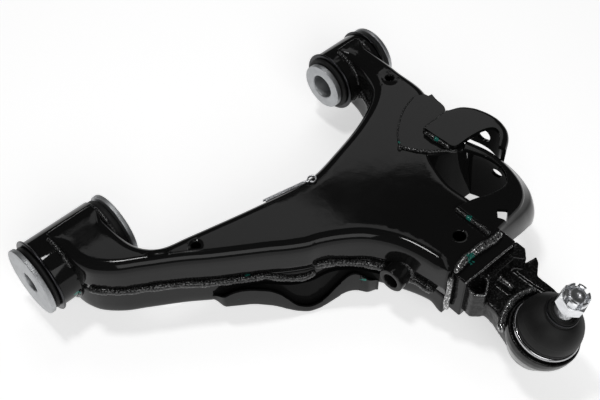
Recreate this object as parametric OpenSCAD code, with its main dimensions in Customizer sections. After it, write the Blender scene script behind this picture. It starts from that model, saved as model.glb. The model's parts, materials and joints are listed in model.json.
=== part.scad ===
// Lower control arm for a pickup or large SUV, left-hand front.
// Frame: origin at the centre of the front bush, +X along the pivot axis from the rear
// bush to the front bush, +Y outboard to the ball joint, +Z up. Millimetres.

/* [Pivot axis] */
// Distance between the two bush centres
bush_span = 364; // [356:1:372]

/* [Front bush] */
// Outer radius of the welded front tube
front_tube_r = 35; // [34:0.5:36]
// Half length of the welded front tube
front_tube_half = 36; // [34:1:38]
// Half length over the inner sleeve, where the washers seat
front_sleeve_half = 45; // [44:0.5:46]
// Radius of the pivot bolt bore
front_bore_r = 10.3; // [8:0.1:11]
// Thickness of a stop washer
front_washer_t = 4.75; // [4:0.25:5]

/* [Rear bush] */
// Outer radius of the welded rear tube
rear_tube_r = 31; // [30:0.5:32]
// Half length of the welded rear tube
rear_tube_half = 25; // [24:1:27]
// Half length over the inner sleeve
rear_sleeve_half = 38.5; // [37:0.5:40]
// Radius of the pivot bolt bore
rear_bore_r = 13; // [11:0.1:14]
// Radius of the inner sleeve's head
rear_head_r = 25; // [23:0.5:26]
// Thickness of the rear stop washer
rear_washer_t = 4.5; // [3:0.5:5]

/* [Pressed shells] */
// Sheet thickness of both shells
sheet_t = 4; // [3:0.25:5]
// Height of the top face above the pivot axis
shell_top = 40; // [39:0.5:42]
// Height of the seam between the shells
shell_seam = 3; // [1:0.5:5]
// Depth of the bottom face below the pivot axis
shell_bottom = 38; // [36:0.5:40]

/* [Shock absorber mount] */
// Outer radius of the cross tube
boss_r = 13; // [12:0.25:14]
// Radius of the bolt bore in the cross tube
boss_bore_r = 7.75; // [6:0.05:8.5]
// Angle between the shock bolt and the pivot axis, seen from above
boss_yaw = 6; // [3:0.5:8]
// Radius of the far bolt hole, in the horseshoe strap
strap_hole_r = 6.5; // [5:0.25:7.5]
// Radius of the hole in the rear ear
ear_hole_r = 7.5; // [5:0.25:8]
// Plate thickness of the straps and brackets
plate_t = 4; // [3:0.5:4]

/* [Ball joint] */
// Lean of the ball joint's axis outboard, in degrees
joint_lean_out = 12; // [8:1:14]
// Lean of the ball joint's axis rearward, in degrees
joint_lean_aft = 5; // [2:1:6]
// Radius of the ball on the stud
ball_r = 14; // [13:0.25:14.5]
// Radius of the stud's thread
stud_r = 8; // [7:0.25:8]
// Width across flats of the castle nut
nut_af = 24; // [22:1:27]

/* [Hidden] */

$fn = 64;
// Radial clearance of the parts that turn in each other
fit_gap = 0.05;
// Gap between parts that must not touch
clear_gap = 0.3;
// How far a cutter runs past the material
past = 1;
big = 600;

paint = [0.07, 0.07, 0.08];
weld_col = [0.2, 0.2, 0.22];
zinc = [0.8, 0.8, 0.82];
steel = [0.55, 0.56, 0.57];
dark_steel = [0.3, 0.3, 0.31];
rubber_col = [0.12, 0.12, 0.12];

// Plan outline of the arm, anticlockwise from the front tube.
front_wall = [[17, 12], [17, 28], [15, 40], [9, 52], [-6, 67], [-23, 78], [-55, 99],
  [-90, 123], [-150, 165], [-170, 176], [-190, 191], [-205, 209], [-214, 228], [-219, 247], [-222, 273]];
tip_wall = [[-292, 273], [-299, 233], [-298, 206], [-303, 186], [-313, 166]];
rear_wall = [[-345, 143], [-373, 106], [-376, 60], [-378, 36], [-380, 12]];
inner_wall = [[-353, 12], [-349, 36], [-335, 64], [-300, 84], [-245, 99], [-205, 105],
  [-150, 96], [-75, 79], [-52, 73], [-40, 62], [-34, 46], [-33, 12]];
outline = concat(front_wall, tip_wall, rear_wall, inner_wall);
front_last = len(front_wall) - 1;
inner_first = len(front_wall) + len(tip_wall) + len(rear_wall);

// Reach of the shells around the tubes, as a distance behind the tube's centre
front_wrap = 9;
rear_wrap = 5;
front_saddle = [-33, 17];
rear_saddle = [-380, -353];
// Fit-up gap between each shell's saddle and the crown of the tube; it closes at the seam
saddle_gap = 0.4;
// Gap around the cross tube in the shells, all of it below the tube
boss_gap = 0.3;

// Inside the bushes: the tube's bore holds the outer sleeve, which holds the rubber
front_tube_bore = 31.5;
front_rubber_r = 29.5;
front_sleeve_r = 15;
front_flange_r = 38;
rear_tube_bore = 28;
rear_rubber_r = 26;
rear_sleeve_r = 20;
rear_flange_r = 33;
flange_t = 2.5;
washer_gap = 0.5;

// Holes in the shells: [x, y, radius]
top_hole_list = [[-75, 96, 4.5], [-359, 66, 4.5], [-259, 252, 6]];
drain_hole_list = [[-60, 86, 7], [-170, 140, 7], [-362, 72, 7]];

// Open end of the arm and the bracket box in it
tip_x = -288;
tip_y = 262;
tip_end_y = 273;
tip_w = 62;
tip_depth = 28;
tip_wall_t = 5;

// Weld beads
seam_bead_w = 3;
seam_bead_half = 3.5;
bead_r = 3.5;
tip_bead = 4;
tube_bead_w = 4;
tube_bead_h = 3;
cup_bead_w = 5;
cup_bead_z = [12, 16];
cup_bead_h = 20;
cup_bead_outline = [[-236, 300], [-228, 345], [-285, 345], [-289, 300]];
// Beads along the straps: [x, start y, length, height above the top face]
strap_bead_list = [[-277.5, 230, 40, 0], [-324.5, 146, 22, 1]];

// Shock absorber bolt: a point on its axis, at the open end of the cross tube
boss_start = [-199, 226, -2];
boss_length = 101.5;

// Straps, at their top faces
ring_inner = [[-281, 230], [-299, 234], [-311, 239], [-327, 243], [-339, 241], [-346, 232],
  [-349, 217], [-346, 201], [-338, 186]];
ring_outer = [[-281, 272], [-312, 270], [-329, 268], [-341, 262], [-350, 251], [-356, 235],
  [-357, 218], [-354, 201], [-347, 178]];
ring_bottom = -24;
// The wall's steps from the top down: the first point of ring_outer that each one runs from
ring_step_from = [2, 2, 2, 2, 5];
ring_step_h = 16;
ring_flare = 6;
ring_near_wall = [[-293, 262], [-293, 268], [-345, 268], [-345, 262]];
// Clear space that the shock absorber's eye drops into
ring_pocket = [[-305, 245], [-330, 251], [-341, 243], [-346, 232], [-349, 217],
  [-346, 201], [-338, 186.5], [-320, 178]];
ring_hole = [-305, 262, 6.5];
ring_hole_drop = 20;
ear_wall = [[-374, 141], [-384, 148], [-391, 162], [-393, 179], [-390, 195], [-382, 207],
  [-372, 214], [-363, 218]];
ear_flange = [[-328, 144], [-331, 180], [-367, 183], [-387, 186], [-389, 179], [-387, 162],
  [-381, 149], [-372, 144]];
ear_bottom = 2;
// Middle of the ear's hole, seen along X
ear_hole_y = 174;
ear_hole_z = 16;
base_outline = [[-338, 186], [-313, 166], [-296, 142], [-308, 127], [-320, 118], [-334, 109],
  [-356, 103], [-373, 106], [-375, 124], [-374, 141], [-372, 160], [-347, 178]];
back_wall = [[-313, 166], [-338, 186]];
back_wall_drop = 4;

// Wavy skirt bracket, as [distance along the front wall, height]
skirt_start = [-30, 81];
skirt_yaw = 145;
skirt_gap = 6;
// How far the shelf runs on past the wall's line, to meet the wall where it curves away
skirt_shelf_in = 3;
tab_w = 8;
tab_h = 10;
// Each tab as [distance along the wall, bottom]
skirt_tabs = [[68, -24], [206, -34]];
skirt_low = [[56, -23], [62, -33], [94, -34], [117, -43], [131, -53], [145, -60], [160, -59],
  [174, -47], [188, -35], [216, -41]];
skirt_top = [[66, -16], [76, -9], [90, -8], [110, -14], [123, -24], [131, -41], [142, -50],
  [153, -51], [164, -45], [171, -29], [182, -16], [188, -5], [201, -12], [216, -25]];

// Forged neck, seen from above, and the height of each step
neck_outline = [[-238, 290], [-232, 330], [-226, 352], [-286, 352], [-290, 322], [-290, 290]];
neck_z = [-26, 12];
lug_outline = [[-290, 300], [-290, 324], [-310, 306]];
lug_z = [-2, 10];
rib_outline = [[-262, 290], [-262, 316], [-266, 316], [-266, 290]];
rib_z = [11, 24];

// Ball joint, measured along its own axis from the pivot plane
joint_at = [-256, 360, 0];
ball_z = -8;
cup_r = 34;
cup_top = 6;
cup_bottom = -26;
// Outside of the cup and the bore in it, as [radius, height] from the top down
cup_outer = [[cup_r, cup_top], [cup_r, -2], [32.5, -7], [29.5, -13], [27, -19], [25, cup_bottom]];
cup_inner = [[27, cup_top], [27, -8], [21.5, -14], [21.5, cup_bottom]];
cover_t = 3;
grease_r = 5;
grease_h = 6;
flange_top = 10;
flange_r = 31;
seat_r = 17;
seat_top = 0;
mouth_r = 21;
neck_r = 6.5;
shank_r = 9;
lip_outer_r = 14;
lip_inner_r = 11.5;
ring_inner_r = 29.6;
ring_outer_r = 31.6;
boot_lip_z = 48;
nut_bottom = 57;
nut_top = 77;
nut_hex_h = 13;
stud_top = 75;
nut_slot_w = 4.4;
pin_hole_r = 1.8;
pin_hole_z = 72;

seat_mouth_r = sqrt(pow(seat_r, 2) - pow(seat_top - ball_z, 2));

function unit(v) = v / norm(v);
function left_of(a, b) = let (e = unit(b - a)) [-e[1], e[0]];

// Closed outline moved to its left by d, which is inward on an anticlockwise outline
function moved(p, d) = [for (i = [0 : len(p) - 1])
  let (n0 = left_of(p[(i + len(p) - 1) % len(p)], p[i]),
       n1 = left_of(p[i], p[(i + 1) % len(p)]))
  p[i] + (n0 + n1) * d / (1 + n0 * n1)];

// Open path moved to its left by d
function shifted(p, d) = [for (i = [0 : len(p) - 1])
  let (n0 = left_of(p[max(i - 1, 0)], p[max(i, 1)]),
       n1 = left_of(p[min(i, len(p) - 2)], p[min(i + 1, len(p) - 1)]))
  p[i] + (n0 + n1) * d / (1 + n0 * n1)];
function reversed(p) = [for (i = [len(p) - 1 : -1 : 0]) p[i]];
function band(p, d0, d1) = concat(shifted(p, d0), reversed(shifted(p, d1)));
function part_of(p, a, b) = [for (i = [a : b]) p[i]];
function slid(p, dx) = [for (q = p) q + [dx, 0]];

rear_x = -bush_span;
inner_outline = moved(outline, sheet_t);
inner_last = len(outline) - 1;

module slab(points, z0, z1) {
  translate([0, 0, z0]) linear_extrude(z1 - z0) polygon(points);
}

// Tube or disc along X, with its middle at x
module x_ring(x, half, r_out, r_in) {
  translate([x - half, 0, 0]) rotate([0, 90, 0]) difference() {
    cylinder(r = r_out, h = 2 * half);
    translate([0, 0, -1]) cylinder(r = r_in, h = 2 * half + 2);
  }
}

module x_rod(x0, x1, r) {
  translate([x0, 0, 0]) rotate([0, 90, 0]) cylinder(r = r, h = x1 - x0);
}

// Space that both bush tubes take out of the shells above (side 1) or below (side -1) the seam
module both_tubes(side) {
  reach = 6;
  translate([0, 0, side * saddle_gap]) {
    x_rod(-front_tube_half - reach, front_tube_half + reach, front_tube_r + fit_gap);
    x_rod(rear_x - rear_tube_half - reach, rear_x + rear_tube_half + reach,
      rear_tube_r + fit_gap);
  }
}

module along_shock_bolt() {
  translate(boss_start) rotate([0, 0, boss_yaw]) rotate([0, -90, 0]) children();
}

module at_joint() {
  translate(joint_at) rotate([-joint_lean_out, -joint_lean_aft, 0]) children();
}

// Solid turned about Z from a [radius, height] profile
module turned(profile) {
  rotate_extrude() polygon(profile);
}

// One sheet wrapped on a tube from the seam, over or under it
module saddle(span, r, reach, side) {
  bore = r + fit_gap;
  intersection() {
    translate([0, 0, side * saddle_gap])
      x_ring((span[0] + span[1]) / 2, (span[1] - span[0]) / 2, bore + sheet_t, bore);
    slab([[span[0] - past, -reach], [span[1] + past, -reach], [span[1] + past, big],
      [span[0] - past, big]], side > 0 ? shell_seam : -big, side > 0 ? big : shell_seam);
  }
}

module saddles(side) {
  saddle(front_saddle, front_tube_r, front_wrap, side);
  saddle(rear_saddle, rear_tube_r, rear_wrap, side);
}

module top_holes() {
  for (p = top_hole_list)
    translate([p[0], p[1], 0]) cylinder(r = p[2], h = big, $fn = 32);
}

// Hole for the cross tube in the shells
module boss_hole() {
  translate([0, 0, -boss_gap]) along_shock_bolt()
    cylinder(r = boss_r + boss_gap, h = boss_length + past);
}

module upper_shell() {
  color(paint) union() {
    difference() {
      slab(outline, shell_seam, shell_top);
      slab(inner_outline, shell_seam - past, shell_top - sheet_t);
      both_tubes(1);
      top_holes();
      boss_hole();
      tip_window();
    }
    saddles(1);
  }
}

module lower_shell() {
  color(paint) union() {
    difference() {
      slab(outline, -shell_bottom, shell_seam);
      slab(inner_outline, sheet_t - shell_bottom, shell_seam + past);
      both_tubes(-1);
      boss_hole();
      tip_window();
      for (p = drain_hole_list)
        translate([p[0], p[1], -big]) cylinder(r = p[2], h = big, $fn = 32);
    }
    saddles(-1);
  }
}

// The open end of the arm, which the tip bracket fills
module tip_window() {
  translate([tip_x, tip_y, sheet_t - shell_bottom])
    cube([tip_w, tip_depth + past, shell_top + shell_bottom - 2 * sheet_t]);
}

module front_bush_tube() {
  color(paint) x_ring(0, front_tube_half, front_tube_r, front_tube_bore);
}

module rear_bush_tube() {
  color(paint) x_ring(rear_x, rear_tube_half, rear_tube_r, rear_tube_bore);
}

// Weld beads along the seam between the shells
module seam_weld_front() {
  color(weld_col) difference() {
    slab(band(part_of(outline, 2, front_last), 0, -seam_bead_w),
      shell_seam - seam_bead_half, shell_seam + seam_bead_half);
    both_tubes(0);
    boss_hole();
  }
}

module seam_weld_inner() {
  color(weld_col) difference() {
    slab(band(part_of(outline, inner_first + 1, inner_last - 1), 0, -seam_bead_w),
      shell_seam - seam_bead_half, shell_seam + seam_bead_half);
    both_tubes(0);
  }
}

// Beads where the wrapped sheet ends on the two tubes
module tube_welds() {
  color(weld_col) {
    tube_bead(front_saddle, front_tube_r, front_wrap);
    tube_bead(rear_saddle, rear_tube_r, rear_wrap);
  }
}

module tube_bead(span, r, reach) {
  x0 = span[0] + past;
  x1 = span[1] - past;
  intersection() {
    x_ring((x0 + x1) / 2, (x1 - x0) / 2, r + tube_bead_h, r + fit_gap);
    slab([[x0, -reach - tube_bead_w], [x1, -reach - tube_bead_w], [x1, -reach], [x0, -reach]],
      0, big);
  }
}

// What is left of a strap where the shells already are
module outside_shells() {
  difference() {
    children();
    slab(outline, -big, shell_top);
  }
}

// Patch on the top face, with a wall down the back of the shock absorber pocket
module shock_base_plate() {
  color(paint) outside_shells() union() {
    slab(base_outline, shell_top, shell_top + plate_t);
    slab(band(back_wall, 0, plate_t), -shell_bottom - back_wall_drop, shell_top + past);
  }
}

// The horseshoe's wall, which leans out below the top and reaches deeper on its far side;
// with a gap, the space that it takes
module ring_wall(gap, depth) {
  last = len(ring_outer) - 1;
  for (i = [0 : len(ring_step_from) - 1])
    slab(band(slid(part_of(ring_outer, ring_step_from[i], last), -ring_flare * i), -gap, depth),
      shell_top - ring_step_h * (i + 1), shell_top - ring_step_h * i);
}

// Horseshoe around the pocket: a flat band on top and a wall below it
module horseshoe_strap() {
  color(paint) outside_shells() difference() {
    union() {
      slab(concat(ring_outer, reversed(ring_inner)), shell_top, shell_top + plate_t);
      ring_wall(0, ring_flare + 1);
      slab(ring_near_wall, ring_bottom, shell_top);
    }
    translate([0, 0, -big / 2]) slab(ring_pocket, 0, big);
    along_shock_bolt() cylinder(r = strap_hole_r, h = big, $fn = 48);
    translate([ring_hole[0], ring_hole[1], shell_top - ring_hole_drop])
      cylinder(r = ring_hole[2], h = ring_hole_drop + plate_t + past, $fn = 32);
  }
}

// Rear ear: a flat flange that folds down into a curved wall with a round hole
module rear_ear_strap() {
  top = shell_top + plate_t;
  color(paint) difference() {
    union() {
      slab(ear_flange, top, top + plate_t);
      slab(band(ear_wall, -plate_t, 0), ear_bottom, top + plate_t);
    }
    ring_wall(clear_gap, 5 * ring_flare);
    slab(base_outline, shell_top, top);
    translate([-big, ear_hole_y, ear_hole_z]) rotate([0, 90, 0])
      cylinder(r = ear_hole_r, h = big + ear_wall[0][0], $fn = 48);
  }
}

// Beads that hold the straps on the top face
module strap_welds() {
  color(weld_col) for (b = strap_bead_list)
    translate([b[0], b[1], shell_top + b[3] * plate_t]) rotate([-90, 0, 0]) bead(b[2], bead_r);
}

// Half-round bead along +Z that lies on the XZ plane
module bead(length, r) {
  intersection() {
    cylinder(r = r, h = length, $fn = 32);
    translate([-r, -r, -past]) cube([2 * r, r, length + 2 * past]);
  }
}

module shock_cross_tube() {
  color(paint) along_shock_bolt() difference() {
    cylinder(r = boss_r, h = boss_length);
    translate([0, 0, -past]) cylinder(r = boss_bore_r, h = boss_length + 2 * past);
  }
}

// Wavy stamped bracket on the lower part of the front wall: a face, a shelf behind its lower
// edge, and two tabs to the wall
module front_skirt_bracket() {
  lip = [for (p = skirt_low) p + [0, plate_t]];
  color(paint) outside_shells()
    translate([skirt_start[0], skirt_start[1], 0]) rotate([0, 0, skirt_yaw]) {
      translate([0, -skirt_gap, 0]) rotate([90, 0, 0]) linear_extrude(plate_t)
        polygon(concat(skirt_low, reversed(skirt_top)));
      translate([0, skirt_shelf_in, 0]) rotate([90, 0, 0])
        linear_extrude(skirt_shelf_in + skirt_gap + past) polygon(concat(skirt_low, reversed(lip)));
      for (tab = skirt_tabs)
        translate([tab[0], -skirt_gap - past, tab[1]]) cube([tab_w, skirt_gap + past, tab_h]);
    }
}

// Box welded into the open end of the arm
module tip_bracket() {
  z0 = sheet_t - shell_bottom;
  h = shell_top + shell_bottom - 2 * sheet_t;
  color(paint) difference() {
    translate([tip_x, tip_y, z0]) cube([tip_w, tip_depth, h]);
    translate([tip_x + tip_wall_t, tip_y - past, z0 + tip_wall_t])
      cube([tip_w - 2 * tip_wall_t, tip_depth - tip_wall_t + past, h - 2 * tip_wall_t]);
  }
}

module tip_weld() {
  z0 = sheet_t - shell_bottom + tip_bead;
  h = shell_top + shell_bottom - 2 * sheet_t - 2 * tip_bead;
  color(weld_col) {
    translate([tip_x, tip_end_y, shell_top - sheet_t]) cube([tip_w, tip_bead, tip_bead]);
    for (x = [tip_x - bead_r, tip_x + tip_w])
      translate([x, tip_end_y, z0]) cube([bead_r, tip_bead, h]);
  }
}

// Forged neck between the tip bracket and the cup
module joint_neck() {
  color(paint) difference() {
    union() {
      slab(neck_outline, neck_z[0], neck_z[1]);
      slab(lug_outline, lug_z[0], lug_z[1]);
      slab(rib_outline, rib_z[0], rib_z[1]);
    }
    at_joint() {
      turned(concat([[0, big], [cup_r + fit_gap, big]], slid(cup_outer, fit_gap),
        [[0, cup_bottom]]));
      translate([0, 0, cup_bottom - big]) cylinder(r = cup_r, h = big);
    }
  }
}

module joint_cup() {
  color(paint) at_joint() turned(concat(cup_outer, reversed(cup_inner)));
}

// Bead around the arm's side of the cup, on top of the neck
module cup_weld() {
  color(weld_col) intersection() {
    at_joint() difference() {
      cylinder(r = cup_r + cup_bead_w, h = cup_bead_h);
      translate([0, 0, -past]) cylinder(r = cup_r + fit_gap, h = cup_bead_h + 2 * past);
    }
    slab(cup_bead_outline, cup_bead_z[0], cup_bead_z[1]);
  }
}

// Housing: it fills the cup's bore, has a flange on top and holds the ball seat
module joint_housing() {
  bottom = cup_bottom + cover_t;
  color(dark_steel) at_joint() difference() {
    turned(concat([[0, flange_top], [flange_r, flange_top], [flange_r, cup_top]],
      part_of(cup_inner, 0, 2), [[cup_inner[3][0], bottom], [0, bottom]]));
    translate([0, 0, ball_z]) sphere(r = seat_r);
    translate([0, 0, bottom - past]) cylinder(r = seat_r, h = ball_z - bottom + past);
    translate([0, 0, seat_top])
      cylinder(r1 = seat_mouth_r, r2 = mouth_r, h = flange_top - seat_top + fit_gap);
  }
}

// The seat fills the housing's bore and stands on the bottom cover
module joint_seat() {
  bottom = cup_bottom + cover_t;
  color("white") at_joint() difference() {
    union() {
      translate([0, 0, bottom]) cylinder(r = seat_r, h = ball_z - bottom);
      intersection() {
        translate([0, 0, ball_z]) sphere(r = seat_r);
        translate([0, 0, ball_z]) cylinder(r = seat_r + 1, h = seat_top - ball_z);
      }
    }
    translate([0, 0, ball_z]) sphere(r = ball_r + fit_gap);
    translate([0, 0, bottom - past]) cylinder(r = grease_r, h = grease_h);
  }
}

module joint_bottom_cover() {
  color(dark_steel) at_joint() translate([0, 0, cup_bottom])
    cylinder(r = cup_inner[3][0], h = cover_t);
}

module ball_stud() {
  color(zinc) at_joint() difference() {
    union() {
      translate([0, 0, ball_z]) sphere(r = ball_r);
      rotate_extrude() polygon([[0, ball_z], [neck_r, ball_z], [neck_r, 5], [shank_r, 12],
        [shank_r, boot_lip_z + 0.5], [stud_r, nut_bottom - 1], [stud_r, stud_top - 1],
        [stud_r - 1, stud_top], [0, stud_top]]);
    }
    translate([-nut_af, 0, pin_hole_z]) rotate([0, 90, 0])
      cylinder(r = pin_hole_r, h = 2 * nut_af, $fn = 24);
  }
}

module castle_nut() {
  color(zinc) at_joint() difference() {
    union() {
      translate([0, 0, nut_bottom]) cylinder(r = nut_af / 2 / cos(30), h = nut_hex_h, $fn = 6);
      translate([0, 0, nut_bottom]) cylinder(r = nut_af / 2 - 0.4, h = nut_top - nut_bottom);
    }
    translate([0, 0, nut_bottom - past])
      cylinder(r = stud_r + fit_gap, h = nut_top - nut_bottom + 2 * past);
    for (a = [0 : 60 : 120])
      rotate([0, 0, a]) translate([-nut_af, -nut_slot_w / 2, nut_bottom + nut_hex_h])
        cube([2 * nut_af, nut_slot_w, nut_top - nut_bottom]);
  }
}

// Boot profile, [radius, height]; its foot stands just clear of the housing
module boot() {
  foot = flange_top + 0.3;
  color(rubber_col) at_joint() rotate_extrude() polygon([[26, foot],
    [ring_inner_r - fit_gap, foot], [ring_inner_r - fit_gap, 14.5], [30, 16], [30, 20],
    [29, 26], [26.5, 33], [22, 39], [16.5, 43], [lip_outer_r, 44],
    [lip_outer_r, boot_lip_z], [lip_inner_r + fit_gap, boot_lip_z],
    [lip_inner_r + fit_gap, 42], [16, 40], [20, 36.5], [24, 31], [26, 25], [26.6, 20],
    [26, 14]]);
}

// Ring turned about the joint's axis
module joint_ring(r_in, r_out, z0, z1) {
  at_joint() rotate_extrude() polygon([[r_in, z0], [r_out, z0], [r_out, z1], [r_in, z1]]);
}

module boot_lower_ring() {
  color(zinc) joint_ring(ring_inner_r, ring_outer_r, flange_top, 14);
}

module boot_upper_ring() {
  color(dark_steel) joint_ring(lip_outer_r + fit_gap, 15.3, 45, 47);
}

module boot_lip_insert() {
  color(rubber_col) joint_ring(shank_r + fit_gap, lip_inner_r, 44, boot_lip_z);
}

// Split pin: two half-round legs and an eye, lying on the arm's top face
module split_pin() {
  leg_r = 1.6;
  leg_l = 50;
  eye_r = 3.6;
  eye_wire_r = 1.5;
  slit_w = 0.3;
  slit_l = 46;
  color(zinc) translate([-153, 101, shell_top + leg_r]) rotate([0, 0, 168]) difference() {
    union() {
      rotate([0, 90, 0]) cylinder(r = leg_r, h = leg_l, $fn = 24);
      translate([leg_l + eye_r - slit_w, 0, 0]) rotate_extrude($fn = 48)
        translate([eye_r, 0]) circle(r = eye_wire_r, $fn = 24);
    }
    translate([-past, -slit_w / 2, -leg_r - past]) cube([slit_l, slit_w, 2 * (leg_r + past)]);
  }
}

module front_outer_sleeve() {
  color(dark_steel) union() {
    x_ring(0, front_tube_half, front_tube_bore, front_rubber_r);
    x_ring(front_tube_half + flange_t / 2, flange_t / 2, front_flange_r, front_rubber_r);
  }
}

// Rubber with a bumper lip at each end
module front_rubber() {
  end = front_sleeve_half - washer_gap;
  bore = front_sleeve_r + fit_gap;
  lip_r = 33;
  fore_half = (end - washer_gap - front_tube_half - flange_t) / 2;
  aft_half = (end - washer_gap - front_tube_half) / 2;
  color(rubber_col) union() {
    x_ring(0, end, front_rubber_r, bore);
    x_ring(front_tube_half + flange_t + fore_half, fore_half, lip_r, bore);
    x_ring(-front_tube_half - aft_half, aft_half, lip_r, bore);
  }
}

module front_inner_sleeve() {
  color(steel) x_ring(0, front_sleeve_half, front_sleeve_r, front_bore_r);
}

module front_washer_fore() {
  color(steel) x_ring(front_sleeve_half + front_washer_t / 2, front_washer_t / 2,
    front_tube_r, front_bore_r);
}

module front_washer_aft() {
  color(steel) x_ring(-front_sleeve_half - front_washer_t / 2, front_washer_t / 2,
    front_tube_r, front_bore_r);
}

module rear_outer_sleeve() {
  color(dark_steel) union() {
    x_ring(rear_x, rear_tube_half, rear_tube_bore, rear_rubber_r);
    for (side = [-1, 1])
      x_ring(rear_x + side * (rear_tube_half + flange_t / 2), flange_t / 2, rear_flange_r,
        rear_rubber_r);
  }
}

module rear_rubber() {
  end = rear_sleeve_half - rear_washer_t - 2;
  bore = rear_sleeve_r + fit_gap;
  lip_r = 29;
  lip_t = 3.5;
  color(rubber_col) union() {
    x_ring(rear_x, end, rear_rubber_r, bore);
    for (side = [-1, 1])
      x_ring(rear_x + side * (rear_tube_half + flange_t + lip_t / 2), lip_t / 2, lip_r, bore);
  }
}

module rear_inner_sleeve() {
  x0 = rear_x - rear_sleeve_half + rear_washer_t;
  x1 = rear_x + rear_sleeve_half;
  head_t = 6;
  color(steel) union() {
    x_ring((x0 + x1) / 2, (x1 - x0) / 2, rear_sleeve_r, rear_bore_r);
    x_ring(x1 - head_t / 2, head_t / 2, rear_head_r, rear_bore_r);
  }
}

module rear_washer() {
  color(steel) x_ring(rear_x - rear_sleeve_half + rear_washer_t / 2, rear_washer_t / 2,
    rear_tube_r, rear_bore_r);
}

upper_shell();
lower_shell();
front_bush_tube();
rear_bush_tube();
seam_weld_front();
seam_weld_inner();
tube_welds();
shock_base_plate();
horseshoe_strap();
rear_ear_strap();
strap_welds();
shock_cross_tube();
front_skirt_bracket();
tip_bracket();
tip_weld();
joint_neck();
joint_cup();
cup_weld();
joint_housing();
joint_seat();
joint_bottom_cover();
ball_stud();
castle_nut();
boot();
boot_lower_ring();
boot_upper_ring();
boot_lip_insert();
split_pin();
front_outer_sleeve();
front_rubber();
front_inner_sleeve();
front_washer_fore();
front_washer_aft();
rear_outer_sleeve();
rear_rubber();
rear_inner_sleeve();
rear_washer();
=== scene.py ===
"""Left lower control arm: gloss black pressings, welds, two bushes and a ball joint.

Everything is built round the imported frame. Lists of points are in mm, in the frame's axes.
"""

import json
import math

import bmesh
import bpy
from mathutils import Matrix, Vector, noise
from mathutils.geometry import delaunay_2d_cdt


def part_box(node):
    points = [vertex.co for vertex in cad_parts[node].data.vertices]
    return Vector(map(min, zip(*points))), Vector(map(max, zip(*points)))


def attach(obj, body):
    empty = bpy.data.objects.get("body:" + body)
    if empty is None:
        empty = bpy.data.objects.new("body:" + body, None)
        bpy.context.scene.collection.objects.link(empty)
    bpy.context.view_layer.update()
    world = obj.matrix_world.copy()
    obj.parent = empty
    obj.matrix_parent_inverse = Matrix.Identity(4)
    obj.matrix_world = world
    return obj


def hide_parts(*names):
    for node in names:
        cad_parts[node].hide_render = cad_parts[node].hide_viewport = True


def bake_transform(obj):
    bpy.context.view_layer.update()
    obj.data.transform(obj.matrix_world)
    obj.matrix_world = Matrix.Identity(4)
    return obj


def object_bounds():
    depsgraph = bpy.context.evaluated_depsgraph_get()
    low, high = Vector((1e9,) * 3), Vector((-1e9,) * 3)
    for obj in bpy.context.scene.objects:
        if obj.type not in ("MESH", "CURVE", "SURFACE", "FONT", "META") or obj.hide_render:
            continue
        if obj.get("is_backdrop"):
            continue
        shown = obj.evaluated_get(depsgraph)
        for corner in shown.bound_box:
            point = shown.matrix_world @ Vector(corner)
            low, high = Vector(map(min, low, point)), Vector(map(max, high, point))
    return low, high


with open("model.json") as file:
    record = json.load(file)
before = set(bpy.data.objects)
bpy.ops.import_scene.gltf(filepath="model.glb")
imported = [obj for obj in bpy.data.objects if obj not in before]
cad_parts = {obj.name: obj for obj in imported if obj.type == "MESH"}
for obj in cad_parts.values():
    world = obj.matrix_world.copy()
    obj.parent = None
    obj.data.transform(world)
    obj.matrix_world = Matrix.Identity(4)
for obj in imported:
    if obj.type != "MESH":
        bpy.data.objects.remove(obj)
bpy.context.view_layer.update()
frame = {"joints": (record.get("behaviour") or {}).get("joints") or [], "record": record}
MM = 0.001
ARM = "arm"


# ---------------- camera and studio

CAMERA_AT = Vector((0.23964, 0.57500, 0.81567))
CAMERA_RIGHT = Vector((-0.7334, 0.6798, 0.0))
CAMERA_UP = Vector((-0.532, -0.574, 0.623))
LENS_MM = 63.18
SENSOR_MM = 36.0
ARM_MIDDLE = (-0.2, 0.2, 0)
FLOOR_SIZE = 12
FLOOR_GLOW = 0.58
SKY_STRENGTH = 0.035


def make_camera():
    data = bpy.data.cameras.new("camera")
    data.lens = LENS_MM
    data.sensor_width = SENSOR_MM
    data.clip_start = 0.05
    camera = bpy.data.objects.new("camera", data)
    bpy.context.scene.collection.objects.link(camera)
    right = CAMERA_RIGHT.normalized()
    back = right.cross(CAMERA_UP).normalized()
    up = back.cross(right)
    turn = Matrix((right, up, back)).transposed().to_4x4()
    camera.matrix_world = Matrix.Translation(CAMERA_AT) @ turn
    bpy.context.scene.camera = camera


def area_light(name, at, size, radiance, target=None, yaw=0):
    """Soft box of even brightness; it faces its target, or straight down at a yaw in degrees."""
    data = bpy.data.lights.new(name, "AREA")
    data.shape = "RECTANGLE"
    data.size, data.size_y = size
    data.energy = radiance * math.pi * size[0] * size[1]
    lamp = bpy.data.objects.new(name, data)
    bpy.context.scene.collection.objects.link(lamp)
    lamp.location = at
    if target:
        lamp.rotation_euler = (Vector(target) - Vector(at)).to_track_quat("-Z", "Y").to_euler()
    else:
        lamp.rotation_euler.z = math.radians(yaw)


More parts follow.
